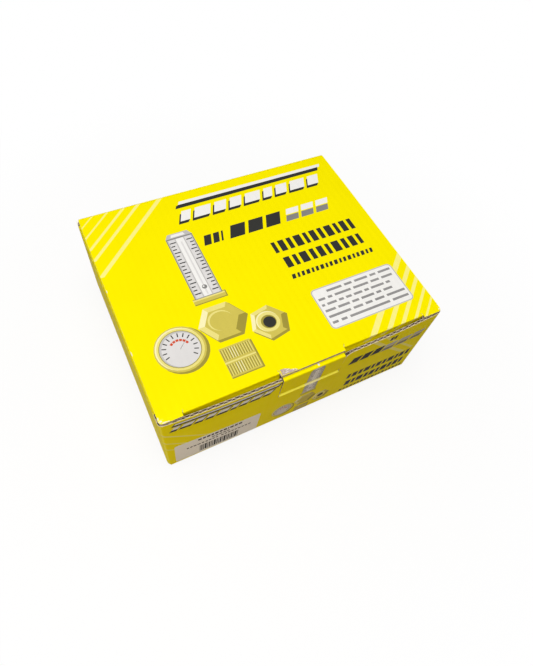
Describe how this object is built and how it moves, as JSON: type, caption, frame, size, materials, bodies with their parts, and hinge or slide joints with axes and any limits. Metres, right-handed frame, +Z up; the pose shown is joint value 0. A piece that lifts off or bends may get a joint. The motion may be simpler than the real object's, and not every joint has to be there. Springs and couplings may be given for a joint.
{
  "type": "tuck-top product carton",
  "caption": "Yellow printed corrugated carton with a hinged tuck-in lid, dust flaps, a front lock tab and a paper barcode label.",
  "frame": {"origin": "middle of the underside of the whole carton, at the surface that it stands on", "axes": "+X runs along the front wall, +Y runs from the front wall to the hinged back, +Z is up"},
  "size_m": [0.25, 0.2118, 0.102],
  "materials": {
    "printed_board": "satin yellow print outside, bare brown liner inside",
    "label_paper": "matt white label paper with black bars"
  },
  "bodies": {
    "carton": {"carton": "printed_board", "barcode_label": "label_paper"},
    "lid": {"lid": "printed_board"},
    "lock_tab": {"lock_tab": "printed_board"}
  },
  "joints": [
    {"name": "lid_hinge", "type": "hinge", "parent": "carton", "child": "lid", "pos_m": [0, 0.10595, 0.102], "axis": [-1, 0, 0], "range_deg": [0, 180]},
    {"name": "tab_crease", "type": "hinge", "parent": "carton", "child": "lock_tab", "pos_m": [0, -0.1046, 0.0702], "axis": [1, 0, 0], "range_deg": [0, 120]}
  ]
}
